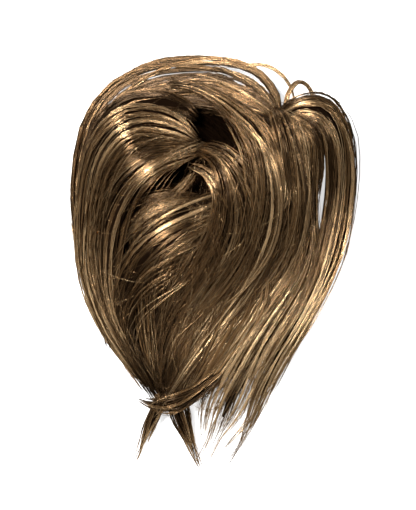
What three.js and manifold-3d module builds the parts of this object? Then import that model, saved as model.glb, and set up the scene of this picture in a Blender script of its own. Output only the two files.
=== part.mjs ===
// A hairpiece of long straight hair, lying on a table as it was dropped there. The hair is sewn to a flat
// oval base with a comb under it. It leaves the base at a whorl and at a cinch beside it, rolls outwards in
// broad locks round the whorl, and sweeps down to one ragged end where a band of hair crosses the tips.
//
// Millimetres, +Z up. The origin is the middle of the base's underside, which lies on the table and, when worn,
// on the head. +Y points to the crown and -Y to the tips.
import * as THREE from "three";
import Module from "manifold-3d";

// Overall sizes of the hair as it lies.
const HAIR_WIDTH = 206;
const HAIR_LENGTH = 291;
const MOUND_HEIGHT = 54;

// The widest and thickest a lock gets. The rows below hold shares of these.
const LOCK_WIDTH = 20;
const LOCK_THICKNESS = 14;

// The mass of hair under the locks.
const UNDER_HEIGHT = 30;
const UNDER_RIM = 5;

// The base, and the comb set in a window in it.
const BASE_WIDTH = 104;
const BASE_DEPTH = 84;
const BASE_THICKNESS = 3;
const COMB_WIDTH = 60;
const COMB_SPINE = 6;
const COMB_TOOTH_LENGTH = 18;
const COMB_TOOTH_WIDTH = 1.6;
const COMB_PITCH = 3.6;
const COMB_THICKNESS = 2;
const COMB_SETBACK = 14;

// What is left free between two pieces.
const CLEARANCE = 0.35;

// How finely the shapes are faceted.
const LOCK_SIDES = 12;
const THIN_LOCK_SIDES = 6;
const STEPS_PER_ROW = 1.5;
const OUTLINE_STEPS = 40;
const UNDER_RINGS = [0.2, 0.4, 0.6, 0.8, 0.93, 1];

// How much of a lock's outline is drawn in between its ribs, and how much locks at the edge lean outwards.
const RIB_SHARE = 0.14;
const OUTWARD_LEAN = 0.75;

// Colours of the materials.
const HAIR_BROWN = 0x7a5836;
const DEEP_BROWN = 0x3b2a19;
const BASE_BLACK = 0x1d1814;
const COMB_BROWN = 0x2b1d12;

// A row is one section of a lock, from its root to its tip. across and along place its middle, as shares of
// HAIR_WIDTH and HAIR_LENGTH from the middle of the base. up is its height over the table as a share of
// MOUND_HEIGHT. wide and thick are shares of LOCK_WIDTH and LOCK_THICKNESS.
const COLUMNS = ["across", "along", "up", "wide", "thick"];

// Each lock, the uppermost first: where two cross, the later one is cut away to make room.
const LOCKS = {
  tie_band: [
    [0.13, -0.44, 0.1, 0.25, 0.25],
    [0.075, -0.485, 0.18, 0.4, 0.4],
    [0.015, -0.522, 0.27, 0.55, 0.5],
    [-0.04, -0.55, 0.34, 0.7, 0.65],
    [-0.095, -0.568, 0.37, 0.8, 0.75],
    [-0.14, -0.575, 0.33, 0.7, 0.65],
    [-0.18, -0.574, 0.24, 0.5, 0.5],
    [-0.22, -0.565, 0.14, 0.25, 0.3],
  ],
  left_roll: [
    [-0.03, 0.055, 0.56, 0.4, 0.5],
    [-0.095, 0.078, 0.66, 1.05, 0.85],
    [-0.18, 0.09, 0.8, 1.45, 1.1],
    [-0.268, 0.074, 0.91, 1.55, 1.2],
    [-0.342, 0.014, 0.74, 1.4, 1.15],
    [-0.38, -0.075, 0.5, 1.2, 1.05],
    [-0.397, -0.17, 0.36, 1.05, 0.95],
    [-0.392, -0.26, 0.31, 0.95, 0.85],
    [-0.357, -0.345, 0.28, 0.85, 0.75],
    [-0.297, -0.43, 0.26, 0.7, 0.65],
    [-0.21, -0.515, 0.24, 0.45, 0.5],
  ],
  middle_right_lock: [
    [-0.12, 0.19, 0.54, 0.3, 0.3],
    [-0.035, 0.18, 0.63, 0.45, 0.4],
    [0.045, 0.15, 0.73, 0.6, 0.55],
    [0.1, 0.118, 0.84, 0.8, 0.75],
    [0.147, 0.086, 0.93, 0.95, 0.9],
    [0.184, 0.045, 0.98, 1.05, 1.05],
    [0.209, -0.02, 0.91, 1.1, 1.15],
    [0.217, -0.09, 0.76, 1.1, 1.1],
    [0.207, -0.16, 0.59, 1.15, 1.0],
    [0.172, -0.235, 0.45, 1.2, 0.9],
    [0.112, -0.31, 0.35, 1.2, 0.75],
    [0.04, -0.38, 0.3, 1.05, 0.65],
    [-0.04, -0.455, 0.29, 0.8, 0.6],
    [-0.11, -0.535, 0.29, 0.5, 0.5],
  ],
  lower_left_lock: [
    [-0.018, 0.03, 0.6, 0.35, 0.45],
    [-0.08, 0.024, 0.68, 0.75, 0.7],
    [-0.16, 0.008, 0.76, 1.1, 0.95],
    [-0.24, -0.035, 0.74, 1.25, 1.05],
    [-0.3, -0.105, 0.6, 1.25, 1.0],
    [-0.33, -0.19, 0.46, 1.2, 0.95],
    [-0.335, -0.28, 0.37, 1.05, 0.85],
    [-0.308, -0.37, 0.31, 0.95, 0.75],
    [-0.25, -0.45, 0.28, 0.75, 0.65],
    [-0.18, -0.525, 0.26, 0.5, 0.5],
  ],
  inner_right_lock: [
    [-0.022, 0.035, 0.62, 0.4, 0.45],
    [0.03, 0.02, 0.8, 0.8, 0.8],
    [0.075, -0.012, 0.9, 1.2, 1.05],
    [0.105, -0.07, 0.86, 1.5, 1.2],
    [0.112, -0.14, 0.7, 1.65, 1.2],
    [0.08, -0.215, 0.53, 1.6, 1.05],
    [0.02, -0.285, 0.41, 1.5, 0.9],
    [-0.045, -0.355, 0.33, 1.3, 0.75],
    [-0.1, -0.43, 0.3, 1.0, 0.6],
    [-0.14, -0.51, 0.29, 0.6, 0.5],
  ],
  cinch_side_lock: [
    [0.232, 0.12, 0.68, 0.6, 0.6],
    [0.26, 0.085, 0.88, 1.15, 0.9],
    [0.285, 0.02, 0.76, 1.4, 1.1],
    [0.299, -0.06, 0.6, 1.5, 1.2],
    [0.295, -0.145, 0.45, 1.6, 1.1],
    [0.265, -0.225, 0.33, 1.75, 0.9],
    [0.21, -0.295, 0.26, 1.85, 0.75],
    [0.14, -0.36, 0.24, 1.8, 0.65],
    [0.07, -0.425, 0.23, 1.6, 0.6],
    [0.005, -0.485, 0.23, 1.3, 0.5],
    [-0.05, -0.545, 0.22, 0.8, 0.4],
  ],
  outer_right_lock: [
    [0.25, 0.112, 0.62, 0.5, 0.5],
    [0.32, 0.13, 0.74, 0.9, 0.8],
    [0.39, 0.122, 0.74, 1.3, 1.0],
    [0.438, 0.07, 0.58, 1.45, 1.1],
    [0.458, -0.005, 0.37, 1.42, 1.1],
    [0.456, -0.09, 0.25, 1.4, 1.0],
    [0.437, -0.175, 0.21, 1.4, 0.9],
    [0.405, -0.252, 0.2, 1.2, 0.8],
    [0.362, -0.325, 0.19, 1.0, 0.7],
    [0.31, -0.392, 0.18, 0.9, 0.6],
    [0.257, -0.455, 0.16, 0.85, 0.55],
    [0.213, -0.515, 0.13, 0.8, 0.45],
    [0.175, -0.575, 0.09, 0.6, 0.35],
    [0.145, -0.635, 0.05, 0.3, 0.2],
  ],
  slit_side_lock: [
    [0.25, 0.1, 0.66, 0.45, 0.5],
    [0.31, 0.086, 0.76, 0.75, 0.7],
    [0.345, 0.04, 0.6, 1.05, 0.85],
    [0.344, -0.05, 0.4, 0.82, 0.9],
    [0.345, -0.13, 0.27, 0.88, 0.9],
    [0.343, -0.21, 0.23, 1.25, 0.75],
    [0.305, -0.285, 0.21, 1.5, 0.7],
    [0.248, -0.352, 0.2, 1.65, 0.6],
    [0.192, -0.415, 0.19, 1.7, 0.5],
    [0.145, -0.478, 0.17, 1.8, 0.45],
    [0.104, -0.54, 0.13, 1.9, 0.4],
    [0.066, -0.6, 0.09, 1.75, 0.3],
    [0.035, -0.65, 0.05, 1.1, 0.2],
  ],
  inner_fall: [
    [0.07, -0.185, 0.36, 1.0, 0.7],
    [-0.01, -0.215, 0.39, 1.8, 0.8],
    [-0.085, -0.275, 0.37, 2.2, 0.85],
    [-0.138, -0.36, 0.31, 1.9, 0.75],
    [-0.158, -0.445, 0.28, 1.3, 0.65],
    [-0.157, -0.53, 0.25, 0.7, 0.5],
  ],
  brow_lock: [
    [-0.025, 0.108, 0.46, 0.4, 0.45],
    [-0.075, 0.132, 0.56, 0.75, 0.6],
    [-0.15, 0.143, 0.58, 1.0, 0.75],
    [-0.24, 0.134, 0.55, 1.1, 0.75],
    [-0.32, 0.1, 0.46, 0.95, 0.7],
    [-0.378, 0.045, 0.36, 0.65, 0.5],
  ],
  inner_roll: [
    [0.13, -0.09, 0.42, 1.0, 0.6],
    [0.065, -0.106, 0.52, 1.35, 0.8],
    [-0.005, -0.127, 0.6, 1.5, 0.95],
    [-0.082, -0.153, 0.64, 1.55, 1.1],
    [-0.158, -0.187, 0.62, 1.5, 1.05],
    [-0.225, -0.237, 0.52, 1.3, 0.95],
    [-0.27, -0.302, 0.41, 1.1, 0.85],
    [-0.286, -0.375, 0.34, 0.95, 0.7],
    [-0.255, -0.455, 0.3, 0.8, 0.6],
    [-0.185, -0.535, 0.28, 0.5, 0.5],
  ],
  crown_sweep_inner: [
    [0.25, 0.105, 0.58, 0.5, 0.5],
    [0.165, 0.143, 0.54, 1.0, 0.65],
    [0.06, 0.168, 0.47, 1.2, 0.7],
    [-0.06, 0.176, 0.42, 1.2, 0.7],
    [-0.18, 0.161, 0.38, 1.15, 0.7],
    [-0.283, 0.122, 0.34, 1.1, 0.7],
    [-0.36, 0.062, 0.3, 1.1, 0.65],
    [-0.402, -0.02, 0.26, 1.0, 0.55],
    [-0.412, -0.12, 0.22, 0.7, 0.45],
  ],
  crown_sweep_outer: [
    [0.255, 0.115, 0.5, 0.45, 0.4],
    [0.235, 0.168, 0.42, 0.5, 0.4],
    [0.172, 0.218, 0.33, 0.6, 0.4],
    [0.065, 0.24, 0.26, 0.8, 0.4],
    [-0.06, 0.243, 0.22, 0.85, 0.4],
    [-0.18, 0.229, 0.2, 0.8, 0.4],
    [-0.292, 0.188, 0.19, 0.85, 0.4],
    [-0.376, 0.114, 0.18, 1.05, 0.45],
    [-0.412, 0.02, 0.17, 1.2, 0.5],
    [-0.424, -0.08, 0.165, 1.15, 0.55],
    [-0.412, -0.18, 0.16, 1.05, 0.55],
    [-0.379, -0.275, 0.155, 1.0, 0.55],
    [-0.323, -0.37, 0.15, 0.95, 0.5],
    [-0.25, -0.46, 0.14, 0.8, 0.5],
    [-0.17, -0.555, 0.14, 0.4, 0.45],
  ],
  tip_right: [
    [-0.1, -0.55, 0.3, 0.8, 0.6],
    [-0.082, -0.61, 0.18, 0.75, 0.5],
    [-0.055, -0.665, 0.08, 0.5, 0.3],
    [-0.022, -0.72, 0.03, 0.2, 0.12],
  ],
  tip_left: [
    [-0.14, -0.55, 0.3, 0.6, 0.6],
    [-0.175, -0.605, 0.18, 0.55, 0.45],
    [-0.203, -0.655, 0.08, 0.42, 0.3],
    [-0.228, -0.7, 0.03, 0.2, 0.12],
  ],
};

// Thin strands that stand clear of the rest at the crown, with the same columns.
const THIN_LOCKS = {
  crown_arc: [
    [0.13, 0.234, 0.36, 0.14, 0.2],
    [0.2, 0.236, 0.4, 0.14, 0.2],
    [0.255, 0.214, 0.44, 0.14, 0.2],
    [0.29, 0.176, 0.5, 0.14, 0.2],
    [0.298, 0.135, 0.57, 0.14, 0.2],
  ],
  crown_loop: [
    [0.268, 0.12, 0.52, 0.2, 0.25],
    [0.28, 0.165, 0.52, 0.2, 0.25],
    [0.31, 0.193, 0.51, 0.22, 0.25],
    [0.34, 0.187, 0.5, 0.22, 0.25],
    [0.362, 0.16, 0.5, 0.2, 0.25],
    [0.366, 0.128, 0.52, 0.16, 0.25],
  ],
};

// The rim of the mass under the locks, seen from above, as shares like a lock's.
const UNDER_OUTLINE = [
  { across: 0.0, along: 0.165 },
  { across: 0.13, along: 0.145 },
  { across: 0.26, along: 0.125 },
  { across: 0.35, along: 0.085 },
  { across: 0.38, along: -0.03 },
  { across: 0.385, along: -0.12 },
  { across: 0.4, along: -0.21 },
  { across: 0.36, along: -0.31 },
  { across: 0.26, along: -0.41 },
  { across: 0.14, along: -0.49 },
  { across: 0.0, along: -0.545 },
  { across: -0.13, along: -0.56 },
  { across: -0.23, along: -0.49 },
  { across: -0.33, along: -0.36 },
  { across: -0.39, along: -0.22 },
  { across: -0.415, along: -0.08 },
  { across: -0.395, along: 0.03 },
  { across: -0.32, along: 0.1 },
  { across: -0.17, along: 0.15 },
];
const UNDER_CENTRE = { across: -0.01, along: -0.1 };

// The mass is full height at the crown and thins towards the tips. A tail row gives the share of
// UNDER_HEIGHT that is left at that place along the hair.
const UNDER_TAIL = [
  { along: 0.3, left: 1.0 },
  { along: -0.15, left: 1.0 },
  { along: -0.3, left: 0.8 },
  { along: -0.45, left: 0.5 },
  { along: -0.6, left: 0.32 },
];

// Where the mass sinks or swells: the open whorl, the gap over the inner roll, the dark core, the crest of the
// right half and the shoulder of the left. reach is a share of HAIR_WIDTH and rise of UNDER_HEIGHT.
const SWELLS = [
  { across: 0.04, along: 0.1, reach: 0.1, rise: -0.7 },
  { across: -0.1, along: -0.04, reach: 0.1, rise: -0.65 },
  { across: -0.13, along: -0.22, reach: 0.15, rise: -0.3 },
  { across: 0.2, along: -0.06, reach: 0.16, rise: 0.4 },
  { across: -0.2, along: 0.05, reach: 0.13, rise: 0.3 },
];

const wasm = await Module();
wasm.setup();

function material(color, roughness) {
  return new THREE.MeshStandardMaterial({ color, roughness, metalness: 0 });
}

// A closed solid from corner points and the triangles between them.
function solidOf(points, triangles) {
  const vertProperties = new Float32Array(points.flatMap((p) => [p.x, p.y, p.z]));
  const triVerts = new Uint32Array(triangles.flat());
  return new wasm.Manifold(new wasm.Mesh({ numProp: 3, vertProperties, triVerts }));
}

function geometryOf(solid) {
  const made = solid.getMesh();
  const geometry = new THREE.BufferGeometry();
  geometry.setAttribute("position", new THREE.BufferAttribute(made.vertProperties, 3));
  geometry.setIndex(new THREE.BufferAttribute(made.triVerts, 1));
  geometry.computeVertexNormals();
  return geometry;
}

// A closed surface through rings of points, with a middle point closing the first ring and the last.
function skin(rings, first, last) {
  const sides = rings[0].length;
  const points = [...rings.flat(), first, last];
  const firstIndex = points.length - 2;
  const lastIndex = points.length - 1;
  const lastRing = (rings.length - 1) * sides;
  const triangles = [];
  for (let side = 0; side < sides; side += 1) {
    const next = (side + 1) % sides;
    triangles.push([firstIndex, next, side]);
    triangles.push([lastIndex, lastRing + side, lastRing + next]);
    for (let ring = 0; ring < rings.length - 1; ring += 1) {
      const here = ring * sides;
      const there = here + sides;
      triangles.push([here + side, here + next, there + next]);
      triangles.push([here + side, there + next, there + side]);
    }
  }
  return solidOf(points, triangles);
}

function named(row) {
  return Object.fromEntries(COLUMNS.map((column, index) => [column, row[index]]));
}

function place({ across, along, up = 0 }) {
  return new THREE.Vector3(across * HAIR_WIDTH, along * HAIR_LENGTH, up * MOUND_HEIGHT);
}

// Which way the top of a lock faces: up over the crown, and leaning outwards at the edges.
function topSide(point) {
  const across = (2 * OUTWARD_LEAN * point.x) / HAIR_WIDTH;
  const along = (OUTWARD_LEAN * point.y) / HAIR_LENGTH;
  return new THREE.Vector3(across, along, 1).normalize();
}

// A ribbed lock through its rows, with grow added all round it.
function lock(table, sides, grow) {
  const rows = table.map(named);
  const route = new THREE.CatmullRomCurve3(rows.map(place), false, "catmullrom");
  const sizes = new THREE.CatmullRomCurve3(
    rows.map(({ wide, thick }) => new THREE.Vector3(wide * LOCK_WIDTH, thick * LOCK_THICKNESS, 0)),
    false,
    "catmullrom",
  );
  const steps = Math.round((rows.length - 1) * STEPS_PER_ROW);
  const rings = [];
  for (let step = 0; step <= steps; step += 1) {
    const share = step / steps;
    const middle = route.getPoint(share);
    const forward = route.getTangent(share);
    if (step === 0) middle.addScaledVector(forward, -grow);
    if (step === steps) middle.addScaledVector(forward, grow);
    const up = topSide(middle);
    up.addScaledVector(forward, -up.dot(forward)).normalize();
    const left = new THREE.Vector3().crossVectors(up, forward);
    const size = sizes.getPoint(share);
    const ring = [];
    for (let side = 0; side < sides; side += 1) {
      const angle = (side / sides) * 2 * Math.PI;
      const rib = side % 2 === 0 ? 1 : 1 - RIB_SHARE;
      const halfWide = (size.x / 2) * rib + grow;
      const halfThick = (size.y / 2) * rib + grow;
      ring.push(
        middle
          .clone()
          .addScaledVector(left, halfWide * Math.cos(angle))
          .addScaledVector(up, halfThick * Math.sin(angle)),
      );
    }
    rings.push(ring);
  }
  const end = route.getPoint(1).addScaledVector(route.getTangent(1), grow);
  const start = route.getPoint(0).addScaledVector(route.getTangent(0), -grow);
  return skin(rings, start, end);
}

// The table's share left at a place along the hair, with straight lines between the rows.
function tailLeft(along) {
  const last = UNDER_TAIL.length - 1;
  const index = Math.max(
    0,
    UNDER_TAIL.findLastIndex((row) => row.along >= along),
  );
  if (index === last) return UNDER_TAIL[last].left;
  const from = UNDER_TAIL[index];
  const to = UNDER_TAIL[index + 1];
  return THREE.MathUtils.mapLinear(along, from.along, to.along, from.left, to.left);
}

// The height of the mass under the locks over the table, a share of the way out to its rim.
function underHeight(across, along, share) {
  const crest = UNDER_HEIGHT * tailLeft(along) * (1 - share ** 2) ** 0.55;
  const swell = SWELLS.reduce((sum, at) => {
    const east = (across - at.across) * HAIR_WIDTH;
    const north = (along - at.along) * HAIR_LENGTH;
    const reach = at.reach * HAIR_WIDTH;
    return sum + at.rise * UNDER_HEIGHT * Math.exp(-(east ** 2 + north ** 2) / reach ** 2);
  }, 0);
  return UNDER_RIM + Math.max(0, crest + swell * (1 - share ** 4));
}

// The mass of hair under the locks: a mound with the outline's shape, flat underneath.
function underMass() {
  const rim = new THREE.CatmullRomCurve3(UNDER_OUTLINE.map(place), true).getPoints(OUTLINE_STEPS);
  rim.pop();
  const centre = place(UNDER_CENTRE);
  const ringAt = (share) =>
    rim.map((point) => {
      const at = centre.clone().lerp(point, share);
      at.z = underHeight(at.x / HAIR_WIDTH, at.y / HAIR_LENGTH, share);
      return at;
    });
  const top = centre.clone();
  top.z = underHeight(UNDER_CENTRE.across, UNDER_CENTRE.along, 0);
  const bottom = centre.clone();
  const rings = [...UNDER_RINGS.map(ringAt), rim];
  return skin(rings, top, bottom);
}

function ovalShape(grow) {
  return new THREE.Shape().absellipse(0, 0, BASE_WIDTH / 2 + grow, BASE_DEPTH / 2 + grow, 0, 2 * Math.PI);
}

// The window for the comb, a rectangle in the base.
function combWindow() {
  const halfWide = COMB_WIDTH / 2 + CLEARANCE;
  const back = BASE_DEPTH / 2 - COMB_SETBACK + CLEARANCE;
  const front = back - COMB_SPINE - COMB_TOOTH_LENGTH - 2 * CLEARANCE;
  const window = new THREE.Path();
  window.moveTo(-halfWide, front);
  window.lineTo(halfWide, front);
  window.lineTo(halfWide, back);
  window.lineTo(-halfWide, back);
  window.closePath();
  return window;
}

function basePlate() {
  const shape = ovalShape(0);
  shape.holes.push(combWindow());
  return new THREE.ExtrudeGeometry(shape, { depth: BASE_THICKNESS, bevelEnabled: false, curveSegments: 20 });
}

// The space in the mass that holds the base and the comb, open towards the table.
function basePocket() {
  const ring = ovalShape(CLEARANCE).getPoints(20).slice(0, -1);
  const floor = -BASE_THICKNESS;
  const roof = BASE_THICKNESS + CLEARANCE;
  const at = (z) => ring.map((p) => new THREE.Vector3(p.x, p.y, z));
  return skin([at(floor), at(roof)], new THREE.Vector3(0, 0, floor), new THREE.Vector3(0, 0, roof));
}

// A plain comb: a spine with straight teeth that point away from the crown.
function comb() {
  const teeth = Math.floor((COMB_WIDTH - COMB_TOOTH_WIDTH) / COMB_PITCH) + 1;
  const span = (teeth - 1) * COMB_PITCH + COMB_TOOTH_WIDTH;
  const spineEdge = -COMB_SPINE;
  const tip = spineEdge - COMB_TOOTH_LENGTH;
  const shape = new THREE.Shape();
  shape.moveTo(-span / 2, 0);
  for (let tooth = 0; tooth < teeth; tooth += 1) {
    const left = -span / 2 + tooth * COMB_PITCH;
    const right = left + COMB_TOOTH_WIDTH;
    if (tooth > 0) shape.lineTo(left, spineEdge);
    shape.lineTo(left, tip + COMB_TOOTH_WIDTH);
    shape.lineTo((left + right) / 2, tip);
    shape.lineTo(right, tip + COMB_TOOTH_WIDTH);
    if (tooth < teeth - 1) shape.lineTo(right, spineEdge);
  }
  shape.lineTo(span / 2, 0);
  shape.closePath();
  return new THREE.ExtrudeGeometry(shape, { depth: COMB_THICKNESS, bevelEnabled: false });
}

// Everything under the table, so that what rests there is flat.
function underTable() {
  const reach = HAIR_WIDTH + HAIR_LENGTH;
  const at = (z) => [
    new THREE.Vector3(reach, -reach, z),
    new THREE.Vector3(reach, reach, z),
    new THREE.Vector3(-reach, reach, z),
    new THREE.Vector3(-reach, -reach, z),
  ];
  return skin([at(-reach), at(0)], new THREE.Vector3(0, 0, -reach), new THREE.Vector3(0, 0, 0));
}

// The main body of a solid, without the crumbs that its neighbours cut off it.
function mainBody(solid) {
  return solid.decompose().reduce((best, part) => (part.volume() > best.volume() ? part : best));
}

const hairpiece = new THREE.Group();

function add(name, geometry, color, roughness) {
  const mesh = new THREE.Mesh(geometry, material(color, roughness));
  mesh.name = name;
  hairpiece.add(mesh);
  return mesh;
}

const table = underTable();
const cutters = [];
const strands = [
  ...Object.entries(THIN_LOCKS).map(([name, rows]) => ({ name, rows, sides: THIN_LOCK_SIDES })),
  ...Object.entries(LOCKS).map(([name, rows]) => ({ name, rows, sides: LOCK_SIDES })),
];
for (const { name, rows, sides } of strands) {
  let solid = lock(rows, sides, 0).subtract(table);
  for (const cutter of cutters) solid = solid.subtract(cutter);
  add(name, geometryOf(mainBody(solid)), HAIR_BROWN, 0.45);
  cutters.push(lock(rows, sides, CLEARANCE));
}

let mass = underMass().subtract(basePocket());
for (const cutter of cutters) mass = mass.subtract(cutter);
add("under_hair", geometryOf(mainBody(mass)), DEEP_BROWN, 0.6);

add("base", basePlate(), BASE_BLACK, 0.9);

const combMesh = add("comb", comb(), COMB_BROWN, 0.35);
combMesh.position.set(0, BASE_DEPTH / 2 - COMB_SETBACK, CLEARANCE);

export default hairpiece;
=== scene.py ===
import bpy
import math
import numpy as np
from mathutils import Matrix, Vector


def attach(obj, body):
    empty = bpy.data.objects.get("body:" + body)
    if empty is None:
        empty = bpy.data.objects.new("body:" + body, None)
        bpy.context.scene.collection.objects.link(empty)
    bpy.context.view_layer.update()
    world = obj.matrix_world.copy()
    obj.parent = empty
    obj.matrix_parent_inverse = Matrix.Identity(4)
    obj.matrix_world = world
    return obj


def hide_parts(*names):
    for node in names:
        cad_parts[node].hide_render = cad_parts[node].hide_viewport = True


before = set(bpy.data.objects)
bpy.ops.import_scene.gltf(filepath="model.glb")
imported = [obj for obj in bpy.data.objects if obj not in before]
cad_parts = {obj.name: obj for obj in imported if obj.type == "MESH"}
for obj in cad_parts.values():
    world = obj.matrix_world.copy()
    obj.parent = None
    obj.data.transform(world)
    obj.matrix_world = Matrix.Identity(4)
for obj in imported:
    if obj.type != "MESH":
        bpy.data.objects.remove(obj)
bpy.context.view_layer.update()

MM = 0.001
HAIR_WIDTH = 206 * MM
HAIR_LENGTH = 291 * MM
MOUND_HEIGHT = 54 * MM
LOCK_WIDTH = 20 * MM
LOCK_THICKNESS = 14 * MM
TABLE_Z = 0.0
OUTWARD_LEAN = 0.75
BASE_WIDTH = 104 * MM
BASE_DEPTH = 84 * MM
BASE_THICKNESS = 3 * MM

FIBRE_RADIUS = 0.27 * MM
LEAST_HALF_WIDTH = 0.4 * MM
CORE_CLEARANCE = 0.3 * MM
RNG = np.random.default_rng(7)

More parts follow.
